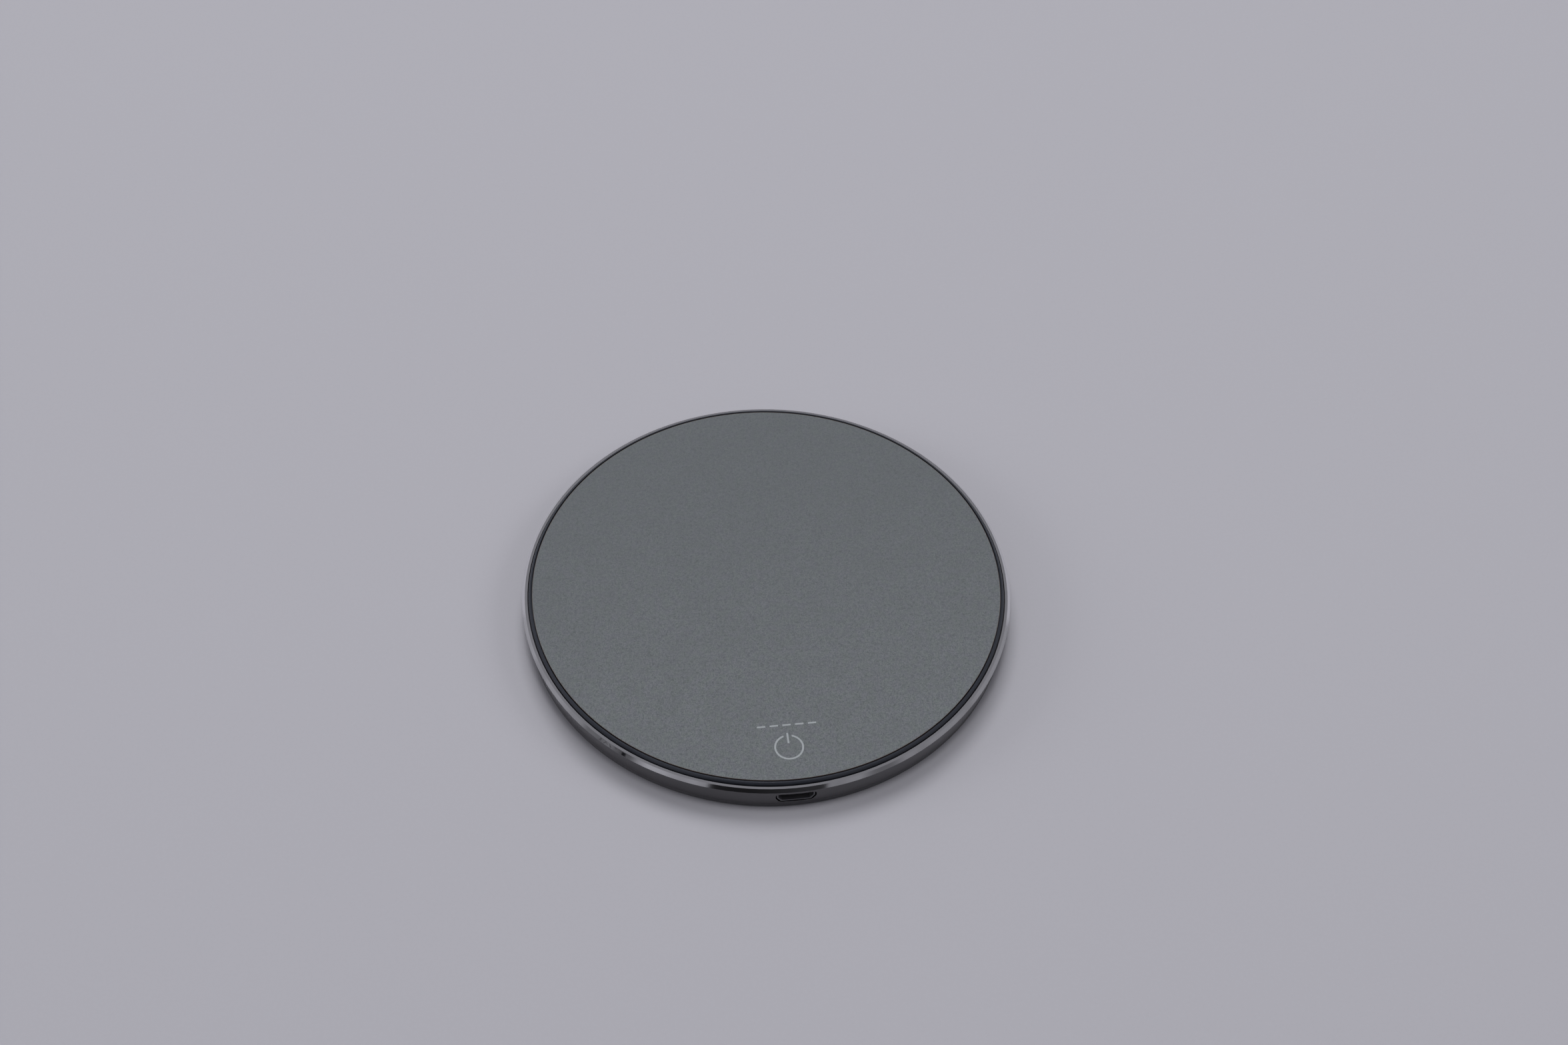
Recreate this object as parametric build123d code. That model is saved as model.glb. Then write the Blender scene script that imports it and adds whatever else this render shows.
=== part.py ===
"""Round wireless charging pad with a micro-USB socket, as separate solids in millimetres.

Z is up and z = 0 is the surface that the pad lies on. The pad's axis is the Z axis, and the
socket faces -Y. A turn is an angle about Z in degrees, counted anticlockwise from the socket.
"""
from build123d import *
from math import cos, radians, sin, sqrt
import os

# ---- driving dimensions ----------------------------------------------------------------------

# Metal frame: a turned ring with a bright chamfer round its top
FRAME_DIAMETER = 100.0
FRAME_DRAW_IN = 0.75            # the side wall leans in by this much at its lower edge
FRAME_WALL = 1.05               # at the lower edge
CHAMFER_WIDTH = 0.6
CHAMFER_HEIGHT = 0.6
LAND_WIDTH = 0.53               # polished flat inside the chamfer

# Tray: a black deck with a rounded rim that stands out of the frame
RIM_GAP = 0.2                   # between the frame and the rim
RIM_WIDTH = 0.55                # also the radius of the rim's rounding
RIM_FACETS = 3                  # conical steps that make the rounding
RIM_RISE = 0.7                  # the rim's top above the frame's land
DECK_THICKNESS = 1.0
DISC_GAP = 0.25                 # between the rim and the disc that lies in it
DISC_THICKNESS = 0.5
TAPE_THICKNESS = 0.1            # every double-sided tape

# Base: a black plate with upright tabs that stand inside the frame and carry the deck
BASE_FLOOR = 1.25
BASE_INSET = 0.1                # its edge lies inside the frame's lower edge
BASE_TOP_BREAK = 0.2
BASE_BOTTOM_BREAK = 0.1
INNER_HEIGHT = 4.2              # between the base's floor and the tray's deck
TAB_TURNS = (30, 90, 150, 210, 270, 330)
TAB_ANGLE = 20.0
TAB_WALL = 1.0
CASE_GAP = 0.1

# Silicone foot ring, stuck under the base over the screws
FOOT_THICKNESS = 0.25
FOOT_WIDTH = 6.0

# Screws, from below
SCREW_INSET = 4.1               # the screws' circle lies inside the tabs' inner faces
SCREW_COUNT = 3
SCREW_CORE_DIAMETER = 1.7
SCREW_HEAD_DIAMETER = 3.6
SCREW_HEAD_HEIGHT = 0.6
SCREW_HEAD_DEPTH = 0.1          # the head's face above the base's underside
SCREW_LENGTH = 3.2              # below the head
SCREW_HEAD_GAP = 0.2
SCREW_HOLE_GAP = 0.15
PILOT_GAP = 0.02
PILOT_SPARE = 0.25              # the pilot hole goes on past the screw's tip
SEAT_THICKNESS = 1.0            # base material between the screw's head and the tray's tower
SEAT_WIDTH = 5.4                # raised square of the base under each tower
TOWER_WIDTH = 4.6               # square screw tower of the tray

# Key that sets the tray and the frame at one angle
KEY_WIDTH = 5.0
KEY_DEPTH = 1.6
KEY_WALL = 0.9
KEY_GAP = 0.2

# Coil, ferrite and what holds them
COIL_DIAMETER = 44.0
COIL_TURNS = 8
COIL_CHORDS = 20                # straight chords in each turn
WIRE_WIDTH = 1.3
WIRE_HEIGHT = 1.1
TURN_GAP = 0.08
FERRITE_WIDTH = 46.0            # square
FERRITE_THICKNESS = 1.0
NEST_GAP = 0.3
NEST_WALL = 1.0
NEST_GRIP = 0.9                 # the nest reaches this far down the ferrite's edge
NEST_LENGTH = 14.0
NEST_OFFSET = 12.0              # each nest wall's middle lies this far from the ferrite's
LEAD_SIZE = 0.8
LEAD_OFFSET = 2.3               # each lead lies this far to the side of the socket's plane
LEAD_LANDING = 1.3              # the leads come down on the board outside its inner edge
LEAD_BEND = 0.75
LEAD_SLOT_WIDTH = 2.0
STAR_RIBS = 8
STAR_REACH_GAP = 1.0            # the star's ribs end inside the ferrite's edge

# Double-sided tapes: three strips under the disc, and pairs of strips, each with its width,
# its length and the distance between the two
DISC_TAPE_WIDTH = 16.0
DISC_TAPE_SPACING = 26.0
DISC_TAPE_INSET = 2.5           # from the disc's edge to the outer strips' corners
COIL_TAPE = (7.0, 28.0, 22.0)
FERRITE_TAPE = (7.0, 36.0, 24.0)

# Stiffening ribs of the base and the tray, in the half away from the board
RIB_TURNS = (90, 120, 150, 210, 240, 270)
RIB_THICKNESS = 0.9
BASE_RIB_HEIGHT = 0.8
TRAY_RIB_HEIGHT = 1.2
RIB_END_GAP = 0.6

# Crescent circuit board round the coil
BOARD_THICKNESS = 0.6
BOARD_STANDOFF = 0.2
BOARD_WIDTH = 19.0
BOARD_EDGE_GAP = 0.5
BOARD_HALF_ANGLE = 50.0
BOARD_CORNER = 2.0              # chamfer
PIN_TURNS = (-45, 45)
PIN_INSET = 10.1                # the locating pins lie inside the board's outer edge
PIN_DIAMETER = 1.5
PIN_HEIGHT = 1.1                # above the board
PIN_GAP = 0.1
HOLD_DOWN_SIZE = (1.2, 2.6)     # across and along the radius, beside each pin
HOLD_DOWN_STEP = 2.2            # from the pin's axis
REST_TURNS = (-44, -13, 13, 44)
REST_LENGTH = 6.0
REST_WIDTH = 1.2

# Micro-USB B socket
SHELL_WIDTH = 7.4
SHELL_HEIGHT = 2.75
SHELL_LENGTH = 5.6
SHELL_SHEET = 0.3
SHELL_TOP_CORNER = 0.5
SHELL_LOW_CORNER = 0.65
SHELL_SLANT_WIDTH = 0.8
SHELL_SIDE_HEIGHT = 1.5         # the upright part of the shell's side, above its slant
MOUTH_RECESS = 0.35             # the shell's mouth lies inside the frame's wall
MOUTH_GAP = 0.25
SHELL_TAB_WIDTH = 1.0
SHELL_TAB_SETBACKS = (3.4, 4.9)  # behind the mouth
SHELL_TAB_GAP = 0.15
BLOCK_LENGTH = 2.3
BLOCK_GAP = 0.1
TONGUE_WIDTH = 3.9
TONGUE_THICKNESS = 0.6
TONGUE_SETBACK = 0.6
TONGUE_RISE = 0.3
CONTACT_COUNT = 5
CONTACT_PITCH = 0.65
CONTACT_WIDTH = 0.25
CONTACT_SHEET = 0.15
CONTACT_TAIL = 0.9
CONTACT_GAP = 0.1               # between the shell's back and the contacts' drops

# Parts on the board: length along the board's arc, width across it, height
CONTROLLER_SIZE = (5.0, 5.0, 0.9)
TRANSISTOR_SIZE = (5.0, 6.0, 1.0)
REGULATOR_SIZE = (3.0, 3.0, 0.9)
RESONANT_CAPACITOR_SIZE = (4.5, 3.2, 2.2)
INPUT_CAPACITOR_SIZE = (3.2, 1.6, 1.6)
INDUCTOR_SIZE = (4.2, 4.2, 2.1)
SENSE_RESISTOR_SIZE = (3.2, 1.6, 0.6)
CHIP_RESISTOR_SIZE = (1.6, 0.8, 0.5)    # stands with its length across the board
THERMISTOR_SIZE = (1.6, 0.8, 0.8)
LED_SIZE = (1.6, 0.8, 0.8)
CAP_LENGTH_SHARE = 0.2          # metal ends of a chip part
CAP_PROUD = 0.04
PACKAGE_BEVEL = 0.15
POT_CORNER = 0.9

# Rows that they stand in: distance inside the board's outer edge
LED_ROW = 2.0
OUTER_ROW = 6.0
RESONANT_ROW = 10.2
POWER_ROW = 12.6
INNER_ROW = 17.0

# Where each of them stands: (turn, row)
CONTROLLER_PLACE = (-2, POWER_ROW)
TRANSISTOR_PLACES = ((9.5, POWER_ROW), (21, POWER_ROW))
REGULATOR_PLACE = (-18, OUTER_ROW)
RESONANT_CAPACITOR_PLACES = ((-15, RESONANT_ROW), (-25, RESONANT_ROW), (-35, RESONANT_ROW), (-26, OUTER_ROW))
INPUT_CAPACITOR_PLACES = ((-10.5, OUTER_ROW), (-4, OUTER_ROW), (3.5, OUTER_ROW))
INDUCTOR_PLACE = (13, OUTER_ROW)
SENSE_RESISTOR_PLACES = ((24, OUTER_ROW), (31, OUTER_ROW))
CHIP_RESISTOR_PLACES = ((28.5, POWER_ROW), (32.1, POWER_ROW), (35.7, POWER_ROW),
                        (-33.4, OUTER_ROW), (-37, OUTER_ROW),
                        (10, INNER_ROW), (13.6, INNER_ROW), (17.2, INNER_ROW))
THERMISTOR_PLACE = (-12, INNER_ROW)
LED_PLACES = ((-9, LED_ROW), (9, LED_ROW))

# ---- levels and radii that follow ---------------------------------------------------------------

base_z = FOOT_THICKNESS
floor_z = base_z + BASE_FLOOR
deck_z = floor_z + INNER_HEIGHT
deck_top_z = deck_z + DECK_THICKNESS
disc_z = deck_top_z + TAPE_THICKNESS
top_z = disc_z + DISC_THICKNESS
land_z = top_z - RIM_RISE
chamfer_z = land_z - CHAMFER_HEIGHT

frame_r = FRAME_DIAMETER / 2
land_r = frame_r - CHAMFER_WIDTH
pocket_r = land_r - LAND_WIDTH
rim_r = pocket_r - RIM_GAP
recess_r = rim_r - RIM_WIDTH
disc_r = recess_r - DISC_GAP
wall_foot_r = frame_r - FRAME_DRAW_IN
frame_bore_r = wall_foot_r - FRAME_WALL
tab_r = frame_bore_r - CASE_GAP
cavity_r = tab_r - TAB_WALL
key_r = rim_r - KEY_GAP

board_z = floor_z + BOARD_STANDOFF
board_top_z = board_z + BOARD_THICKNESS
board_r = cavity_r - BOARD_EDGE_GAP
board_inner_r = board_r - BOARD_WIDTH
pin_r = board_r - PIN_INSET
lead_run_r = board_inner_r + LEAD_LANDING
socket_z = board_top_z + SHELL_HEIGHT / 2

screw_z = base_z + SCREW_HEAD_DEPTH
seat_z = screw_z + SCREW_HEAD_HEIGHT
tower_z = seat_z + SEAT_THICKNESS
screw_circle_r = cavity_r - SCREW_INSET
first_screw_turn = 180 / SCREW_COUNT

coil_z = deck_z - WIRE_HEIGHT
coil_tape_z = coil_z - TAPE_THICKNESS
ferrite_z = coil_tape_z - FERRITE_THICKNESS
pedestal_z = ferrite_z - TAPE_THICKNESS
turn_pitch = WIRE_WIDTH + TURN_GAP
coil_end_r = COIL_DIAMETER / 2 - WIRE_WIDTH / 2
coil_start_r = coil_end_r - COIL_TURNS * turn_pitch
wire_mid_z = coil_z + WIRE_HEIGHT / 2
slot_mid_z = ferrite_z + FERRITE_THICKNESS / 2
nest_y = FERRITE_WIDTH / 2 + NEST_GAP


def wall_radius(z):
    """Outer radius of the frame's leaning side wall at height z."""
    share = (z - floor_z) / (chamfer_z - floor_z)
    return wall_foot_r + share * (frame_r - wall_foot_r)


mouth_y = -(wall_radius(socket_z) - MOUTH_RECESS)
socket_back_y = mouth_y + SHELL_LENGTH


# ---- building blocks ----------------------------------------------------------------------------

def turned(*corners):
    """Solid of revolution about Z from its profile's corners, each (radius, z)."""
    return revolve(Plane.XZ * make_face(Polyline(*corners, close=True)), Axis.Z)


def disc(radius, z, thickness):
    """Flat round plate that stands on z."""
    return Pos(0, 0, z) * extrude(Circle(radius), amount=thickness)


def curved_wall(outer, inner, angle, z, height):
    """Piece of a round wall about Z, centred on turn 0."""
    start = -90 - angle / 2
    edges = [CenterArc((0, 0), radius, start, angle) for radius in (outer, inner)]
    edges += [Line(edges[0] @ end, edges[1] @ end) for end in (0, 1)]
    return Pos(0, 0, z) * extrude(make_face(edges), amount=height)


def block(x, y, z):
    """Box given by its two ends along each axis."""
    size = [high - low for low, high in (x, y, z)]
    return Pos(x[0], y[0], z[0]) * Box(*size, align=(Align.MIN,) * 3)


def standing_box(length, width, height):
    """Box centred on Z that stands on z = 0."""
    return Box(length, width, height, align=(Align.CENTER, Align.CENTER, Align.MIN))


def at(turn, radius, z, part):
    """The part, moved out from the axis and turned about Z. Its own -Y then points outwards."""
    return Rot(0, 0, turn) * Pos(0, -radius, z) * part


def turns(angles, part):
    """Copies of a part, turned about Z."""
    return [Rot(0, 0, angle) * part for angle in angles]


def at_screws(part):
    """Copies of a part that is built about Z, one at each screw."""
    angles = [first_screw_turn + 360 / SCREW_COUNT * i for i in range(SCREW_COUNT)]
    return [at(angle, screw_circle_r, 0, part) for angle in angles]


def on_board(place, part):
    """The part, standing on the board at its (turn, row)."""
    turn, inset = place
    return at(turn, board_r - inset, board_top_z, part)


def group(parts):
    """Separate solids in one node."""
    return Compound(children=list(parts))


def radial_ribs(inner, outer, z, height):
    half = RIB_THICKNESS / 2
    return turns(RIB_TURNS, block((-half, half), (-outer, -inner), (z, z + height)))


def strips(size, count, z):
    """Parallel strips of tape on z, side by side along X."""
    width, length, spacing = size
    strip = Pos(0, 0, z + TAPE_THICKNESS / 2) * Box(width, length, TAPE_THICKNESS)
    return group(Pos(spacing * (i - (count - 1) / 2), 0, 0) * strip for i in range(count))


# ---- frame --------------------------------------------------------------------------------------

def shell_outline(grow, corners):
    """Outline of the socket's shell, wide side up, grown by a clearance, about its centre."""
    half = SHELL_WIDTH / 2 + grow
    high = SHELL_HEIGHT / 2 + grow
    side = SHELL_HEIGHT / 2 - SHELL_SIDE_HEIGHT
    points = [(-half, high), (half, high), (half, side),
              (half - SHELL_SLANT_WIDTH, -high), (SHELL_SLANT_WIDTH - half, -high), (-half, side)]
    top, low = corners
    return make_face(FilletPolyline(*points, radius=[top, top, low, low, low, low], close=True))


def socket_prism(grow, front_y, length):
    """Shell-shaped bar that runs inwards along +Y from front_y, at the socket's height."""
    corners = [max(corner + grow, 0) for corner in (SHELL_TOP_CORNER, SHELL_LOW_CORNER)]
    outline = Pos(0, front_y, socket_z) * Rot(90, 0, 0) * shell_outline(grow, corners)
    return extrude(outline, amount=-length, dir=(0, -1, 0))


def metal_frame():
    ring = turned(
        (frame_bore_r, floor_z), (wall_foot_r, floor_z), (frame_r, chamfer_z), (land_r, land_z),
        (pocket_r, land_z), (pocket_r, deck_z), (frame_bore_r, deck_z))
    aperture = socket_prism(MOUTH_GAP, -frame_r, frame_r - cavity_r)
    half = KEY_WIDTH / 2 + KEY_GAP
    bottom = deck_z - KEY_DEPTH - KEY_GAP
    key_way = block((-half, half), (cavity_r, key_r + KEY_GAP), (bottom, deck_z))
    return ring - aperture - key_way


# ---- tray and what lies in it -------------------------------------------------------------------

def top_tray():
    corners = [90 * i / RIM_FACETS for i in range(RIM_FACETS + 1)]
    rim = [(recess_r + RIM_WIDTH * cos(radians(corner)), top_z - RIM_WIDTH * (1 - sin(radians(corner))))
           for corner in corners]
    tray = turned((0, deck_z), (rim_r, deck_z), *rim, (recess_r, deck_top_z), (0, deck_top_z))

    nest = block((NEST_OFFSET - NEST_LENGTH / 2, NEST_OFFSET + NEST_LENGTH / 2),
                 (nest_y, nest_y + NEST_WALL), (coil_z - NEST_GRIP, deck_z))
    tray += turns((0, 90, 180, 270), nest)

    tower = Pos(0, 0, tower_z) * standing_box(TOWER_WIDTH, TOWER_WIDTH, deck_z - tower_z)
    hole_depth = SCREW_LENGTH - SEAT_THICKNESS + PILOT_SPARE
    tray += at_screws(tower - disc(SCREW_CORE_DIAMETER / 2 + PILOT_GAP, tower_z, hole_depth))

    half = KEY_WIDTH / 2
    tray += block((-half, half), (key_r - KEY_WALL, key_r), (deck_z - KEY_DEPTH, deck_z))
    outer = cavity_r - RIB_END_GAP
    tray += radial_ribs(nest_y + NEST_WALL / 2, outer, deck_z - TRAY_RIB_HEIGHT, TRAY_RIB_HEIGHT)

    across, along = HOLD_DOWN_SIZE
    post = standing_box(across, along, deck_z - board_top_z)
    for turn in PIN_TURNS:
        for side in (-HOLD_DOWN_STEP, HOLD_DOWN_STEP):
            tray += at(turn, pin_r, board_top_z, Pos(side, 0, 0) * post)
    return tray


def surface_disc():
    return disc(disc_r, disc_z, DISC_THICKNESS)


def surface_tape():
    """Strips whose outer corners lie just inside the disc's edge."""
    corner_x = DISC_TAPE_SPACING + DISC_TAPE_WIDTH / 2
    length = 2 * sqrt((disc_r - DISC_TAPE_INSET) ** 2 - corner_x ** 2)
    return strips((DISC_TAPE_WIDTH, length, DISC_TAPE_SPACING), 3, deck_top_z)


# ---- base, foot ring and screws -----------------------------------------------------------------

def star_pedestal():
    """Crossing ribs that carry the ferrite."""
    half = RIB_THICKNESS / 2
    reach = FERRITE_WIDTH / 2 - STAR_REACH_GAP
    rib = block((-half, half), (-reach, 0), (floor_z, pedestal_z))
    return turns([360 / STAR_RIBS * (i + 0.5) for i in range(STAR_RIBS)], rib)


def base_cover():
    edge_r = wall_foot_r - BASE_INSET
    base = turned(
        (0, base_z), (edge_r - BASE_BOTTOM_BREAK, base_z), (edge_r, base_z + BASE_BOTTOM_BREAK),
        (edge_r, floor_z - BASE_TOP_BREAK), (edge_r - BASE_TOP_BREAK, floor_z), (0, floor_z))
    base += turns(TAB_TURNS, curved_wall(tab_r, cavity_r, TAB_ANGLE, floor_z, deck_z - floor_z))
    base += star_pedestal()
    base += radial_ribs(FERRITE_WIDTH / 2, cavity_r, floor_z, BASE_RIB_HEIGHT)

    pin = disc(PIN_DIAMETER / 2, floor_z, board_top_z + PIN_HEIGHT - floor_z)
    rest = Box(REST_WIDTH, REST_LENGTH, BOARD_STANDOFF, align=(Align.CENTER, Align.MIN, Align.MIN))
    base += [at(turn, pin_r, 0, pin) for turn in PIN_TURNS]
    base += [at(turn, board_r, floor_z, rest) for turn in REST_TURNS]

    well = disc(SCREW_HEAD_DIAMETER / 2 + SCREW_HEAD_GAP, base_z, seat_z - base_z)
    shank_hole = disc(SCREW_CORE_DIAMETER / 2 + SCREW_HOLE_GAP, seat_z, SEAT_THICKNESS)
    base += at_screws(Pos(0, 0, floor_z) * standing_box(SEAT_WIDTH, SEAT_WIDTH, tower_z - floor_z))
    return base - at_screws(well + shank_hole)


def foot_ring():
    outer = screw_circle_r + FOOT_WIDTH / 2
    return extrude(Circle(outer) - Circle(outer - FOOT_WIDTH), amount=FOOT_THICKNESS)


def case_screws():
    screw = disc(SCREW_HEAD_DIAMETER / 2, screw_z, SCREW_HEAD_HEIGHT)
    screw += disc(SCREW_CORE_DIAMETER / 2, seat_z, SCREW_LENGTH)
    return group(at_screws(screw))


# ---- coil and ferrite ---------------------------------------------------------------------------

def spiral_side(offset):
    """Points along the spiral, at a distance from its middle line."""
    points = []
    for i in range(COIL_TURNS * COIL_CHORDS + 1):
        radius = coil_start_r + turn_pitch * i / COIL_CHORDS + offset
        angle = radians(360 * i / COIL_CHORDS - 90)
        points.append((radius * cos(angle), radius * sin(angle)))
    return points


def lead(x, z, start_r):
    """Flat-sided wire that runs towards the socket at a level z, then bends down to the board."""
    path = FilletPolyline((x, -start_r, z), (x, -lead_run_r, z), (x, -lead_run_r, board_top_z),
                          radius=LEAD_BEND)
    section = Plane(origin=path @ 0, x_dir=(1, 0, 0), z_dir=path % 0) * Rectangle(LEAD_SIZE, LEAD_SIZE)
    return sweep(section, path=path)


def charging_coil():
    """Flat spiral. Its inner end dips into the ferrite's slot, and both ends run to the board."""
    sides = spiral_side(-WIRE_WIDTH / 2) + spiral_side(WIRE_WIDTH / 2)[::-1]
    coil = Pos(0, 0, coil_z) * extrude(make_face(Polyline(*sides, close=True)), amount=WIRE_HEIGHT)
    half = LEAD_SIZE / 2
    dip = block((-LEAD_OFFSET - half, -LEAD_OFFSET + half), (-coil_start_r - half, -coil_start_r + half),
                (slot_mid_z - half, deck_z))
    for x, radius, z in ((-LEAD_OFFSET, coil_start_r, slot_mid_z), (LEAD_OFFSET, coil_end_r, wire_mid_z)):
        end = block(sorted((0, x + half if x > 0 else x - half)), (-radius - half, -radius + half),
                    (coil_z, deck_z))
        coil += end + lead(x, z, radius)
    return coil + dip


def coil_tape():
    return strips(COIL_TAPE, 2, coil_tape_z)


def ferrite_shield():
    """Square ferrite plate with a slot for the coil's inner lead."""
    edge = FERRITE_WIDTH / 2
    half = LEAD_SLOT_WIDTH / 2
    plate = block((-edge, edge), (-edge, edge), (ferrite_z, coil_tape_z))
    return plate - block((-LEAD_OFFSET - half, -LEAD_OFFSET + half), (-edge, -coil_start_r + LEAD_SIZE),
                         (ferrite_z, coil_tape_z))


def ferrite_tape():
    return strips(FERRITE_TAPE, 2, pedestal_z)


# ---- circuit board and socket -------------------------------------------------------------------

def shell_tabs(width, length, top):
    """Upright bars at the shell's two sides, from the board's underside up to a level."""
    side = (SHELL_WIDTH - SHELL_SHEET) / 2
    bar = Pos(0, 0, (board_z + top) / 2) * Box(width, length, top - board_z)
    return [Pos(x, mouth_y + setback, 0) * bar for setback in SHELL_TAB_SETBACKS for x in (-side, side)]


def circuit_board():
    plate = curved_wall(board_r, board_inner_r, 2 * BOARD_HALF_ANGLE, board_z, BOARD_THICKNESS)
    plate = chamfer(plate.edges().filter_by(Axis.Z), BOARD_CORNER)
    hole = disc(PIN_DIAMETER / 2 + PIN_GAP, board_z, BOARD_THICKNESS)
    plate -= [at(turn, pin_r, 0, hole) for turn in PIN_TURNS]
    spare = 2 * SHELL_TAB_GAP
    return plate - shell_tabs(SHELL_SHEET + spare, SHELL_TAB_WIDTH + spare, board_top_z)


def usb_shell():
    """Folded steel shell with four tabs that go down through the board."""
    shell = socket_prism(0, mouth_y, SHELL_LENGTH) - socket_prism(-SHELL_SHEET, mouth_y, SHELL_LENGTH)
    side_z = socket_z + SHELL_HEIGHT / 2 - SHELL_SIDE_HEIGHT
    return shell + shell_tabs(SHELL_SHEET, SHELL_TAB_WIDTH, side_z + SHELL_SHEET)


def contact_bars():
    """Flat contacts under the tongue, each with a drop behind the block and a tail on the board."""
    under_z = socket_z + TONGUE_RISE - TONGUE_THICKNESS / 2
    front_y = mouth_y + TONGUE_SETBACK + CONTACT_SHEET
    drop_y = socket_back_y + CONTACT_GAP
    half = CONTACT_WIDTH / 2
    bar = block((-half, half), (front_y, drop_y + CONTACT_SHEET), (under_z - CONTACT_SHEET, under_z))
    bar += block((-half, half), (drop_y, drop_y + CONTACT_SHEET), (board_top_z, under_z))
    bar += block((-half, half), (drop_y, drop_y + CONTACT_TAIL), (board_top_z, board_top_z + CONTACT_SHEET))
    first = -CONTACT_PITCH * (CONTACT_COUNT - 1) / 2
    return [Pos(first + CONTACT_PITCH * i, 0, 0) * bar for i in range(CONTACT_COUNT)]


def usb_insulator():
    """Black block at the back of the shell, with the tongue that stands forward into the mouth."""
    block_y = socket_back_y - BLOCK_LENGTH
    inset = SHELL_SHEET + BLOCK_GAP
    body = socket_prism(-inset, block_y, BLOCK_LENGTH)
    tongue_z = socket_z + TONGUE_RISE
    body += block((-TONGUE_WIDTH / 2, TONGUE_WIDTH / 2), (mouth_y + TONGUE_SETBACK, block_y),
                  (tongue_z - TONGUE_THICKNESS / 2, tongue_z + TONGUE_THICKNESS / 2))
    return body - contact_bars()


# ---- parts on the board -------------------------------------------------------------------------

def chip_part(size):
    """Small ceramic part with a metal cap on each end."""
    length, width, height = size
    cap = length * CAP_LENGTH_SHARE
    body = standing_box(length - 2 * CAP_PROUD, width - 2 * CAP_PROUD, height - CAP_PROUD)
    end = standing_box(cap, width, height)
    return body + [Pos(side * (length - cap) / 2, 0, 0) * end for side in (-1, 1)]


def package(size):
    """Moulded package with bevelled top edges."""
    body = standing_box(*size)
    return chamfer(body.faces().sort_by(Axis.Z)[-1].edges(), PACKAGE_BEVEL)


def filter_inductor():
    """Square shielded choke with cut corners."""
    pot = standing_box(*INDUCTOR_SIZE)
    return on_board(INDUCTOR_PLACE, chamfer(pot.edges().filter_by(Axis.Z), POT_CORNER))


def indicator_led():
    """Side-looking LED: a small block with a raised window towards the wall."""
    length, width, height = LED_SIZE
    window = Pos(0, -width / 2, height / 4) * standing_box(length / 2, width / 2, height / 2)
    return standing_box(length, width, height) + window


def row(places, part):
    """One copy of the part at each place, in one node."""
    return group(on_board(place, part) for place in places)


NODES = {
    "metal_frame": metal_frame,
    "top_tray": top_tray,
    "surface_disc": surface_disc,
    "surface_tape": surface_tape,
    "base_cover": base_cover,
    "foot_ring": foot_ring,
    "case_screws": case_screws,
    "charging_coil": charging_coil,
    "coil_tape": coil_tape,
    "ferrite_shield": ferrite_shield,
    "ferrite_tape": ferrite_tape,
    "circuit_board": circuit_board,
    "usb_shell": usb_shell,
    "usb_insulator": usb_insulator,
    "usb_contacts": lambda: group(contact_bars()),
    "controller_chip": lambda: on_board(CONTROLLER_PLACE, package(CONTROLLER_SIZE)),
    "bridge_transistors": lambda: row(TRANSISTOR_PLACES, package(TRANSISTOR_SIZE)),
    "voltage_regulator": lambda: on_board(REGULATOR_PLACE, package(REGULATOR_SIZE)),
    "resonant_capacitors": lambda: row(RESONANT_CAPACITOR_PLACES, chip_part(RESONANT_CAPACITOR_SIZE)),
    "input_capacitors": lambda: row(INPUT_CAPACITOR_PLACES, chip_part(INPUT_CAPACITOR_SIZE)),
    "filter_inductor": filter_inductor,
    "sense_resistors": lambda: row(SENSE_RESISTOR_PLACES, chip_part(SENSE_RESISTOR_SIZE)),
    "chip_resistors": lambda: row(CHIP_RESISTOR_PLACES, Rot(0, 0, 90) * chip_part(CHIP_RESISTOR_SIZE)),
    "temperature_sensor": lambda: on_board(THERMISTOR_PLACE, chip_part(THERMISTOR_SIZE)),
    "indicator_leds": lambda: row(LED_PLACES, indicator_led()),
}

os.makedirs("parts", exist_ok=True)
for name, build in NODES.items():
    export_step(build(), f"parts/{name}.step")
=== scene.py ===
"""Looks for the round wireless charging pad: finishes of every node, printed sign, light and camera."""
import math

import bpy
from mathutils import Matrix, Vector


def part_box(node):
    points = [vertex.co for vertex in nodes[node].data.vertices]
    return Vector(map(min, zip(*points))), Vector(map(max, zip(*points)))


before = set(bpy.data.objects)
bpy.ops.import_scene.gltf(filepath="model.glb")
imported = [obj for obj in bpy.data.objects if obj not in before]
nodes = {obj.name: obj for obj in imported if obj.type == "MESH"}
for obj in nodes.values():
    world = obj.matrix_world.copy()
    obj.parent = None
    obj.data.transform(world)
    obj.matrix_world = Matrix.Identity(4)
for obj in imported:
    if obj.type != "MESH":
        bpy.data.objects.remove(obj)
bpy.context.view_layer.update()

MM = 0.001

# ---- places taken from the frame ----------------------------------------------------------------

# The disc's radius and the metal frame's levels, in millimetres: its land and the foot of its chamfer
CHAMFER_HEIGHT = 0.6

disc_low, disc_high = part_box("surface_disc")
disc_radius = (disc_high.x - disc_low.x) / 2 / MM
land_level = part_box("metal_frame")[1].z / MM
chamfer_foot = land_level - CHAMFER_HEIGHT


# ---- shader building ----------------------------------------------------------------------------

# A mix node's sockets when it mixes colours: its factor, its two colours, and its result
MIX_INPUTS = (0, 6, 7)
MIX_OUTPUT = 2


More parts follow.
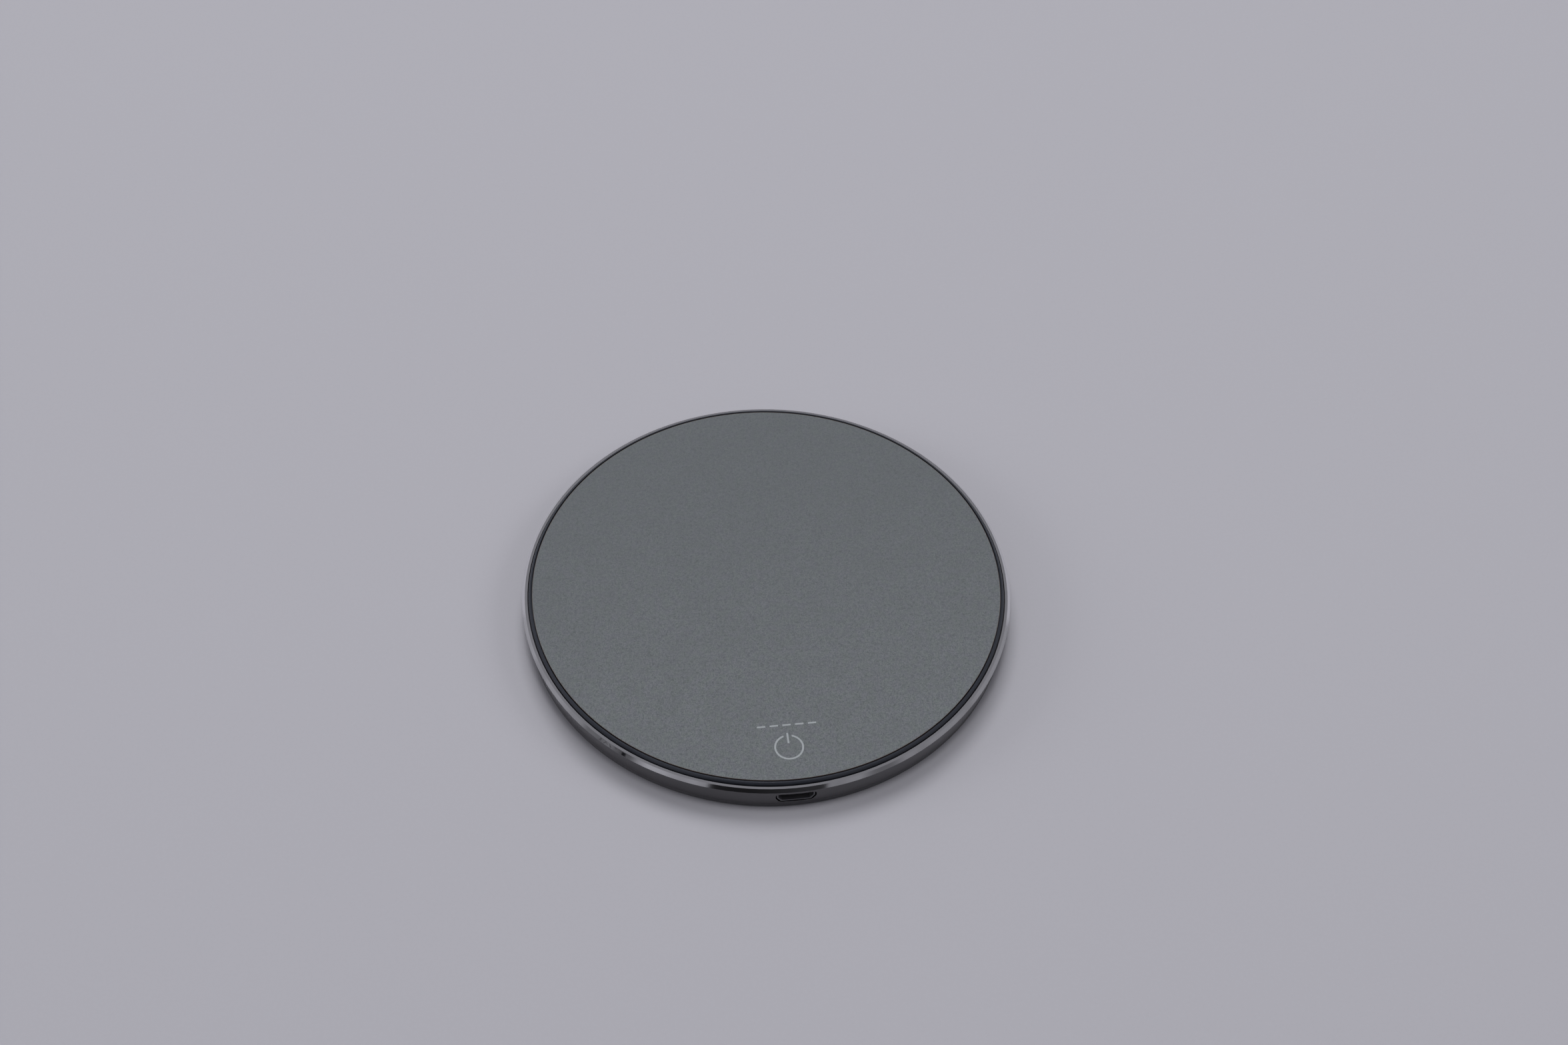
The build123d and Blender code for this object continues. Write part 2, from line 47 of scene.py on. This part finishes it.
class NodeTree:
    """A node tree, with short calls for the node kinds that this scene uses."""

    def __init__(self, tree):
        self.nodes = tree.nodes
        self.links = tree.links

    def add(self, kind, settings=None, **inputs):
        """A new node with its settings, and its inputs set or linked."""
        node = self.nodes.new(kind)
        for key, value in (settings or {}).items():
            setattr(node, key, value)
        self.fill(node, inputs)
        return node

    def fill(self, node, inputs):
        """Sets or links the inputs of a node by their names, with _ for a space."""
        for key, value in inputs.items():
            self.put(node.inputs[key.replace("_", " ")], value)

    def put(self, socket, value):
        """Links a socket to value, or sets it where value is a number or a colour."""
        if isinstance(value, bpy.types.NodeSocket):
            self.links.new(value, socket)
        elif socket.type == "RGBA" and len(value) == 3:
            socket.default_value = (*value, 1)
        else:
            socket.default_value = value

    def math(self, operation, *values):
        """The result of one operation on numbers or sockets."""
        node = self.add("ShaderNodeMath", {"operation": operation})
        for socket, value in zip(node.inputs, values):
            self.put(socket, value)
        return node.outputs[0]

    def position(self):
        """The point's place in the row frame, as a vector in millimetres."""
        place = self.add("ShaderNodeTexCoord").outputs["Object"]
        scaled = self.add("ShaderNodeVectorMath", {"operation": "SCALE"}, Vector=place, Scale=1 / MM)
        return scaled.outputs[0]

    def split(self, vector):
        """The x, y and z of a vector."""
        return self.add("ShaderNodeSeparateXYZ", Vector=vector).outputs[:]

    def noise(self, vector, size, detail=2.0, roughness=0.5):
        """Noise from 0 to 1 whose patches are about size across."""
        node = self.add("ShaderNodeTexNoise", Vector=vector, Scale=1 / size, Detail=detail,
                        Roughness=roughness)
        return node.outputs["Fac"]

    def ramp(self, value, low, high, start=0.0, end=1.0):
        """start below low and end above high, with a smooth step between."""
        node = self.add("ShaderNodeMapRange", {"interpolation_type": "SMOOTHSTEP"})
        for socket, number in zip(node.inputs, (value, low, high, start, end)):
            self.put(socket, number)
        return node.outputs[0]

    def between(self, value, low, high, soft=0.03):
        """1 from low to high and 0 outside, with soft edges."""
        rise = self.ramp(value, low - soft, low + soft)
        fall = self.ramp(value, high - soft, high + soft, 1.0, 0.0)
        return self.math("MULTIPLY", rise, fall)

    def mix(self, factor, first, second, blend="MIX"):
        """The first colour at factor 0, and its blend with the second at factor 1."""
        node = self.add("ShaderNodeMix", {"data_type": "RGBA", "blend_type": blend})
        for index, value in zip(MIX_INPUTS, (factor, first, second)):
            self.put(node.inputs[index], value)
        return node.outputs[MIX_OUTPUT]

    def bump(self, height, depth):
        """Bump from a height from 0 to 1 that stands for a depth in millimetres."""
        return self.add("ShaderNodeBump", Height=height, Distance=depth * MM, Strength=1.0).outputs[0]

    def vector(self, x, y, z):
        """The vector of three numbers."""
        return self.add("ShaderNodeCombineXYZ", X=x, Y=y, Z=z).outputs[0]

    def radius(self, x, y):
        """Distance from the origin in the plane of x and y."""
        squares = self.math("ADD", self.math("MULTIPLY", x, x), self.math("MULTIPLY", y, y))
        return self.math("SQRT", squares)

    def ring_wise(self, x, y, z, fineness):
        """Coordinates in which noise becomes rings round the part's axis, thinner with more fineness."""
        across = self.math("MULTIPLY", self.radius(x, y), fineness)
        up = self.math("MULTIPLY", z, fineness)
        return self.vector(across, up, self.math("ARCTAN2", y, x))


class MaterialTree(NodeTree):
    """The node tree of a new material, with its surface shader."""

    def __init__(self, name):
        self.material = bpy.data.materials.new(name)
        self.material.use_nodes = True
        super().__init__(self.material.node_tree)
        self.surface = self.nodes["Principled BSDF"]

    def set(self, **inputs):
        """Sets or links the inputs of the surface shader."""
        self.fill(self.surface, inputs)


def srgb(*levels):
    """Linear colour from screen levels of 11 to 255."""
    return tuple(((level / 255 + 0.055) / 1.055) ** 2.4 for level in levels)


def dress(node, tree):
    """Gives a CAD node the material of a tree."""
    mesh = nodes[node].data
    mesh.materials.clear()
    mesh.materials.append(tree.material)


# ---- materials of what shows --------------------------------------------------------------------

CUT_METAL = (0.85, 0.845, 0.86)
WALL_METAL = (0.15, 0.146, 0.15)
STAIN_METAL = (0.1, 0.1, 0.11)
RIM_BLACK = (0.031, 0.034, 0.043)
DULL_PLATING = (0.13, 0.13, 0.138)
GOLD = (0.83, 0.62, 0.25)

# The disc's film: its grain from dark to pale, its specks, its clouds, the painted shade of its far
# side, its cut edge and its print; the tints are factors
FILM_DARK = srgb(91, 95, 98)
FILM_PALE = srgb(114, 119, 121)
FILM_SPECK = srgb(74, 79, 80)
FILM_CLOUD = srgb(94, 98, 99)
FILM_PAINTED_FAR_SHADE = srgb(90, 94, 97)
GREENISH_TINT = (0.985, 1.0, 0.97)
PURPLISH_TINT = (1.005, 0.975, 1.02)
CUT_EDGE_COLOUR = srgb(82, 72, 68)
PRINT_COLOUR = srgb(160, 165, 168)

# The worn stretch of the chamfer and the nick beside it, in degrees from -Y towards +X, and the levels
# that both keep to
WORN_TURNS = (-47.5, -41.5)
NICK_TURNS = (-40.9, -39.8)
CHAMFER_FACE = (chamfer_foot + 0.06, chamfer_foot + 0.5)

# The print on the disc: the sign's centre, its ring, the gap and bar in it, and the row of dashes
SIGN_X, SIGN_Y = -0.3, -40.4
SIGN_RADIUS = 2.7
STROKE = 0.36
GAP_HALF_WIDTH = 0.8
BAR_FOOT = 0.9
BAR_TOP = SIGN_RADIUS + 0.6
DASHES_X = (-6.0, 5.65)
DASHES_Y = -35.2
DASH_STEP = 2.5
DASH_LENGTH = 1.65


def frame_metal():
    """Turned metal with lathe lines: a satin wall, a bright cut chamfer and land, and a nick."""
    tree = MaterialTree("frame_metal")
    place = tree.position()
    x, y, z = tree.split(place)
    cut_levels = (chamfer_foot - 0.02, chamfer_foot + 0.02)
    lines = tree.noise(tree.ring_wise(x, y, z, 30.0), 1.0, detail=3.0)
    smears = tree.ramp(tree.noise(place, 3.0, detail=4.0), 0.3, 0.8, -0.01, 0.03)
    turn = tree.math("DEGREES", tree.math("ARCTAN2", x, tree.math("MULTIPLY", y, -1.0)))
    face = tree.between(z, *CHAMFER_FACE, soft=0.05)
    blots = tree.ramp(tree.noise(place, 0.7, detail=4.0, roughness=0.6), 0.48, 0.64, 0.0, 0.5)
    worn = tree.math("MULTIPLY", tree.between(turn, *WORN_TURNS, soft=1.5), blots)
    nick = tree.between(turn, *NICK_TURNS, soft=0.35)
    stained = tree.math("MULTIPLY", face, tree.math("MAXIMUM", worn, nick))
    bright = tree.mix(stained, CUT_METAL, STAIN_METAL)
    tree.set(Metallic=1.0,
             Base_Color=tree.mix(tree.ramp(z, *cut_levels), WALL_METAL, bright),
             Roughness=tree.math("ADD", tree.ramp(z, *cut_levels, 0.22, 0.07), smears),
             Normal=tree.bump(lines, 0.0006))
    return tree


def rim_gloss():
    """Glossy black moulding with a faint orange peel."""
    tree = MaterialTree("rim_gloss")
    peel = tree.noise(tree.position(), 0.6)
    tree.set(Base_Color=RIM_BLACK, Roughness=0.2, IOR=1.42, Normal=tree.bump(peel, 0.001))
    return tree


def printed_sign(tree, x, y):
    """Mask of the pale print: a power sign and a row of dashes, near the disc's edge over the socket."""
    across, along = tree.math("SUBTRACT", x, SIGN_X), tree.math("SUBTRACT", y, SIGN_Y)
    ring = tree.between(tree.radius(across, along), SIGN_RADIUS - STROKE / 2, SIGN_RADIUS + STROKE / 2)
    gap_sides = tree.between(across, -GAP_HALF_WIDTH, GAP_HALF_WIDTH)
    gap = tree.math("MULTIPLY", gap_sides, tree.ramp(along, 0.0, 0.1))
    ring = tree.math("MULTIPLY", ring, tree.math("SUBTRACT", 1.0, gap))
    bar_sides = tree.between(across, -STROKE / 2, STROKE / 2)
    bar = tree.math("MULTIPLY", bar_sides, tree.between(along, BAR_FOOT, BAR_TOP))
    step = tree.math("MODULO", tree.math("SUBTRACT", x, DASHES_X[0]), DASH_STEP)
    row_sides = tree.between(y, DASHES_Y - STROKE / 2, DASHES_Y + STROKE / 2)
    row = tree.math("MULTIPLY", tree.between(x, *DASHES_X), row_sides)
    dashes = tree.math("MULTIPLY", tree.between(step, 0.0, DASH_LENGTH), row)
    return tree.math("MAXIMUM", tree.math("MAXIMUM", ring, bar), dashes)


def disc_film_and_painted_shade():
    """Matte film with a fine grain, a few darker specks, a pale print, a brown cut edge and painted
    shade towards the far side.
    """
    tree = MaterialTree("top_finish")
    place = tree.position()
    x, y = tree.split(place)[:2]
    grain = tree.noise(place, 0.26, detail=1.0)
    mottle = tree.noise(place, 0.6, detail=1.0)
    speckle = tree.math("ADD", grain, tree.math("MULTIPLY", mottle, 0.6))
    specks = tree.noise(place, 0.34, detail=0.0)
    tint_patches = tree.noise(place, 1.8, detail=3.0)
    clouds = tree.noise(place, 6.0, detail=1.0)
    film = tree.mix(tree.ramp(speckle, 0.5, 1.1), FILM_DARK, FILM_PALE)
    tint = tree.mix(tree.ramp(tint_patches, 0.35, 0.65), GREENISH_TINT, PURPLISH_TINT)
    colour = tree.mix(1.0, film, tint, "MULTIPLY")
    colour = tree.mix(tree.ramp(clouds, 0.35, 0.65, 0.0, 0.15), colour, FILM_CLOUD)
    colour = tree.mix(tree.ramp(specks, 0.66, 0.76, 0.0, 0.45), colour, FILM_SPECK)
    # Painted shade: the colour goes half way to a darker film towards the disc's far side, +Y, for how
    # the light falls there
    colour = tree.mix(tree.ramp(y, -45.0, 45.0, 0.0, 0.5), colour, FILM_PAINTED_FAR_SHADE)
    colour = tree.mix(tree.math("MULTIPLY", printed_sign(tree, x, y), 0.9), colour, PRINT_COLOUR)
    cut_edge = tree.ramp(tree.radius(x, y), disc_radius - 0.11, disc_radius - 0.04)
    colour = tree.mix(cut_edge, colour, CUT_EDGE_COLOUR)
    tree.set(Base_Color=colour, Roughness=0.55, Normal=tree.bump(grain, 0.005))
    return tree


def plastic_grain(name, colour, roughness, size, depth):
    """Moulded plastic or rubber with a fine even grain, of a size and a depth in millimetres."""
    tree = MaterialTree(name)
    place = tree.position()
    grain = tree.noise(place, size)
    wear = tree.noise(place, 9.0, detail=3.0)
    dark = tuple(channel * 0.8 for channel in colour)
    tree.set(Base_Color=tree.mix(wear, dark, colour),
             Roughness=tree.ramp(wear, 0.2, 0.8, roughness - 0.06, roughness + 0.06),
             Normal=tree.bump(grain, depth))
    return tree


def plated(name, colour, roughness, metallic=1.0):
    """Plated sheet metal with faint rolling marks; dull plating is less metallic."""
    tree = MaterialTree(name)
    x, y, z = tree.split(tree.position())
    along_y = tree.vector(tree.math("MULTIPLY", x, 12.0), y, tree.math("MULTIPLY", z, 12.0))
    marks = tree.noise(along_y, 1.0, detail=3.0)
    tree.set(Metallic=metallic,
             Base_Color=colour,
             Roughness=tree.ramp(marks, 0.2, 0.8, roughness - 0.05, roughness + 0.08),
             Normal=tree.bump(marks, 0.003))
    return tree


dress("metal_frame", frame_metal())
dress("top_tray", rim_gloss())
dress("surface_disc", disc_film_and_painted_shade())
dress("base_cover", plastic_grain("base_plastic", srgb(80, 79, 82), 0.45, 0.25, 0.006))
dress("foot_ring", plastic_grain("foot_silicone", srgb(60, 59, 61), 0.7, 0.4, 0.01))
dress("usb_shell", plated("socket_steel", DULL_PLATING, 0.38, 0.25))
dress("usb_insulator", plastic_grain("socket_plastic", srgb(66, 66, 69), 0.45, 0.15, 0.005))
dress("usb_contacts", plated("contact_gold", GOLD, 0.25))


# ---- materials of what lies inside --------------------------------------------------------------

COPPER_SHADE = (0.42, 0.14, 0.05)
COPPER = (0.78, 0.36, 0.17)
LACQUER = (0.008, 0.06, 0.022)
LACQUER_ON_TRACKS = (0.02, 0.12, 0.05)
SCREW_STEEL = (0.5, 0.49, 0.47)
TAPE_COLOURS = {"surface_tape": srgb(206, 202, 190),
                "coil_tape": srgb(212, 208, 196),
                "ferrite_tape": srgb(190, 187, 178)}
SMALL_PART_COLOURS = {"resonant_capacitors": srgb(168, 132, 98),
                      "input_capacitors": srgb(176, 144, 112),
                      "filter_inductor": srgb(84, 84, 88),
                      "sense_resistors": srgb(36, 36, 38),
                      "chip_resistors": srgb(34, 34, 36),
                      "temperature_sensor": srgb(60, 74, 66),
                      "indicator_leds": srgb(222, 218, 178)}


def copper_wire():
    """Enamelled copper bundle with fine strands along the turns."""
    tree = MaterialTree("enamelled_copper")
    x, y, z = tree.split(tree.position())
    strands = tree.noise(tree.ring_wise(x, y, z, 9.0), 1.0)
    tree.set(Metallic=1.0,
             Base_Color=tree.mix(strands, COPPER_SHADE, COPPER),
             Roughness=0.32,
             Coat_Weight=0.4,
             Normal=tree.bump(strands, 0.03))
    return tree


def solder_mask():
    """Green board lacquer over faint tracks."""
    tree = MaterialTree("board_lacquer")
    place = tree.position()
    x, y = tree.split(place)[:2]
    bent_radius = tree.math("ADD", tree.radius(x, y), tree.noise(place, 6.0, detail=1.0))
    tracks = tree.ramp(tree.math("SINE", tree.math("MULTIPLY", bent_radius, 7.0)), 0.5, 0.8)
    tree.set(Base_Color=tree.mix(tracks, LACQUER, LACQUER_ON_TRACKS),
             Roughness=0.3,
             Normal=tree.bump(tracks, 0.01))
    return tree


dress("charging_coil", copper_wire())
dress("circuit_board", solder_mask())
dress("case_screws", plated("screw_steel", SCREW_STEEL, 0.3))
dress("ferrite_shield", plastic_grain("sintered_ferrite", srgb(58, 57, 60), 0.4, 0.1, 0.004))
for tape, tape_colour in TAPE_COLOURS.items():
    dress(tape, plastic_grain(tape + "_film", tape_colour, 0.5, 1.2, 0.01))
for chip in ("controller_chip", "bridge_transistors", "voltage_regulator"):
    dress(chip, plastic_grain(chip + "_epoxy", srgb(38, 38, 40), 0.5, 0.08, 0.003))
for small_part, part_colour in SMALL_PART_COLOURS.items():
    dress(small_part, plastic_grain(small_part + "_body", part_colour, 0.4, 0.1, 0.003))


# ---- floor, light and camera --------------------------------------------------------------------

FLOOR_COLOUR = srgb(176, 175, 182)
FLOOR_FLECKS = (0.3, 0.3, 0.33)

# Half the side of the floor and the lamps' distance from the origin, in metres
FLOOR_REACH = 4.0
LAMP_DISTANCE = 1.7

# The camera's place, seen from the centre of the land, and its roll, in millimetres and degrees, the
# point of the land's plane that it is turned to, measured from the same centre, and its lens
CAMERA_AZIMUTH = -7.33
CAMERA_ELEVATION = 51.683
CAMERA_DISTANCE = 451.34
CAMERA_ROLL = 1.426
CAMERA_AIM = (5.59, 16.47, 0)
LENS = 50.51
SENSOR_WIDTH = 36.0

# The room that the metal mirrors, in levels of brightness: its far side at the horizon and half-way up,
# what the far side gains at the top, its near side below and at the top, what the left gains and the
# right loses, and how far the clutter strays. Then its tint.
FAR_LEVELS = (0.28, 0.19)
FAR_TOP = 0.12
NEAR_LEVELS = (0.21, 0.28)
SIDE_LEVEL = 0.035
CLUTTER_LEVEL = 0.025
ROOM_TINT = (1.0, 1.0, 1.09)

# Each patch is a paler or darker thing in the room, with its azimuths, counted from the camera's, its
# elevations and its softness in degrees, and its change of level. The shade is the dark shape round
# the camera, with the same three measures. Its depths are the shares of the light that it takes away
# at its lowest and its highest azimuth.
ROOM_PATCHES = (((-113.0, -109.0), (6.0, 20.0), 4.0, -0.03),
                ((-101.0, -97.0), (6.0, 22.0), 4.0, -0.06),
                ((-72.0, -54.0), (10.0, 34.0), 4.0, -0.06),
                ((-72.0, -67.0), (10.0, 34.0), 5.0, -0.07),
                ((-58.0, -54.0), (12.0, 36.0), 5.0, -0.10),
                ((-46.0, -40.0), (20.0, 42.0), 4.0, 0.08),
                ((-46.0, -28.0), (20.0, 42.0), 4.0, 0.02),
                ((38.0, 92.0), (8.0, 42.0), 8.0, 0.025),
                ((44.0, 50.0), (20.0, 42.0), 7.0, -0.08))
SHADE = ((-20.5, 24.0), (12.0, 58.0), 2.5)
SHADE_DEPTHS = (0.95, 0.89)


def floor():
    """Plain matt paper under the part."""
    corners = [(-FLOOR_REACH, -FLOOR_REACH, 0), (FLOOR_REACH, -FLOOR_REACH, 0),
               (FLOOR_REACH, FLOOR_REACH, 0), (-FLOOR_REACH, FLOOR_REACH, 0)]
    mesh = bpy.data.meshes.new("floor")
    mesh.from_pydata(corners, [], [(0, 1, 2, 3)])
    plane = bpy.data.objects.new("floor", mesh)
    bpy.context.scene.collection.objects.link(plane)
    tree = MaterialTree("floor_paper")
    grain = tree.noise(tree.position(), 0.7, detail=3.0)
    colour = tree.mix(tree.ramp(grain, 0.3, 0.7, 0.0, 0.04), FLOOR_COLOUR, FLOOR_FLECKS)
    tree.set(Base_Color=colour, Roughness=0.9, Normal=tree.bump(grain, 0.01))
    mesh.materials.append(tree.material)


def direction(azimuth, elevation):
    """Unit vector towards an azimuth, from -Y turning to +X, and an elevation, in degrees."""
    turn, rise = math.radians(azimuth), math.radians(elevation)
    flat = math.cos(rise)
    return Vector((math.sin(turn) * flat, -math.cos(turn) * flat, math.sin(rise)))


def area_light(name, size, power, azimuth, elevation):
    """A soft disk lamp, in metres and watts, that lights without a mirror image of its own."""
    place = direction(azimuth, elevation) * LAMP_DISTANCE
    data = bpy.data.lights.new(name, "AREA")
    data.shape, data.size, data.energy = "DISK", size, power
    lamp = bpy.data.objects.new(name, data)
    lamp.location = place
    lamp.rotation_euler = (-place).to_track_quat("-Z", "Y").to_euler()
    lamp.visible_glossy = False
    bpy.context.scene.collection.objects.link(lamp)


def studio():
    """Soft room light: paler high up and near the horizon, with patches, and dark round the camera."""
    world = bpy.data.worlds.new("studio")
    bpy.context.scene.world = world
    world.use_nodes = True
    tree = NodeTree(world.node_tree)
    way = tree.add("ShaderNodeTexCoord").outputs["Generated"]
    turn = tree.add("ShaderNodeVectorRotate", {"rotation_type": "Z_AXIS"}, Vector=way,
                    Angle=math.radians(-CAMERA_AZIMUTH))
    side, away, up = tree.split(turn.outputs[0])
    elevation = tree.math("DEGREES", tree.math("ARCSINE", up))
    azimuth = tree.math("DEGREES", tree.math("ARCTAN2", side, tree.math("MULTIPLY", away, -1.0)))

    def band(value, low, high, soft):
        """1 between low and high, falling to 0 over soft on each side."""
        rise = tree.ramp(value, low - soft, low)
        return tree.math("MULTIPLY", rise, tree.ramp(value, high, high + soft, 1.0, 0.0))

    def patch(azimuths, elevations, soft):
        """1 inside a soft-edged part of the room and 0 outside."""
        across = band(azimuth, *azimuths, soft)
        return tree.math("MULTIPLY", across, band(elevation, *elevations, soft))

    far = tree.ramp(elevation, 4.0, 46.0, *FAR_LEVELS)
    far = tree.math("ADD", far, tree.ramp(elevation, 56.0, 80.0, 0.0, FAR_TOP))
    near = tree.ramp(elevation, 40.0, 80.0, *NEAR_LEVELS)
    far_share = tree.ramp(away, -0.25, 0.25)
    blend = tree.add("ShaderNodeMix", {"data_type": "FLOAT"}, Factor=far_share, A=near, B=far)
    level = tree.math("ADD", blend.outputs[0], tree.math("MULTIPLY", side, -SIDE_LEVEL))
    for azimuths, elevations, soft, change in ROOM_PATCHES:
        level = tree.math("ADD", level, tree.math("MULTIPLY", patch(azimuths, elevations, soft), change))
    clutter = tree.ramp(tree.noise(way, 0.12), 0.3, 0.7, -CLUTTER_LEVEL, CLUTTER_LEVEL)
    clutter = tree.math("MULTIPLY", clutter, band(elevation, 14.0, 46.0, 6.0))
    level = tree.math("ADD", level, tree.math("MULTIPLY", clutter, tree.ramp(away, 0.1, -0.1)))
    shade = tree.math("MULTIPLY", patch(*SHADE), tree.ramp(azimuth, -8.0, 22.0, *SHADE_DEPTHS))
    level = tree.math("MULTIPLY", level, tree.math("SUBTRACT", 1.0, shade))
    colour = tree.mix(level, (0, 0, 0), ROOM_TINT)
    tree.put(tree.nodes["Background"].inputs["Color"], colour)


def camera():
    """The camera, looking down at the part from in front of it, with a slight roll."""
    data = bpy.data.cameras.new("camera")
    data.lens, data.sensor_width = LENS, SENSOR_WIDTH
    cam = bpy.data.objects.new("camera", data)
    bpy.context.scene.collection.objects.link(cam)
    land_centre = Vector((0, 0, land_level)) * MM
    cam.location = land_centre + direction(CAMERA_AZIMUTH, CAMERA_ELEVATION) * CAMERA_DISTANCE * MM
    aim = land_centre + Vector(CAMERA_AIM) * MM
    turn = (aim - cam.location).to_track_quat("-Z", "Y").to_matrix()
    roll = Matrix.Rotation(math.radians(CAMERA_ROLL), 3, "Z")
    cam.rotation_euler = (turn @ roll).to_euler()
    bpy.context.scene.camera = cam


floor()
studio()
area_light("top_lamp", size=0.4, power=6.0, azimuth=0, elevation=86)
area_light("far_softbox", size=1.0, power=13.0, azimuth=180, elevation=60)
area_light("left_softbox", size=0.8, power=7.0, azimuth=-95, elevation=20)
area_light("right_softbox", size=0.8, power=4.6, azimuth=85, elevation=38)
camera()
bpy.context.scene.view_settings.view_transform = "Standard"
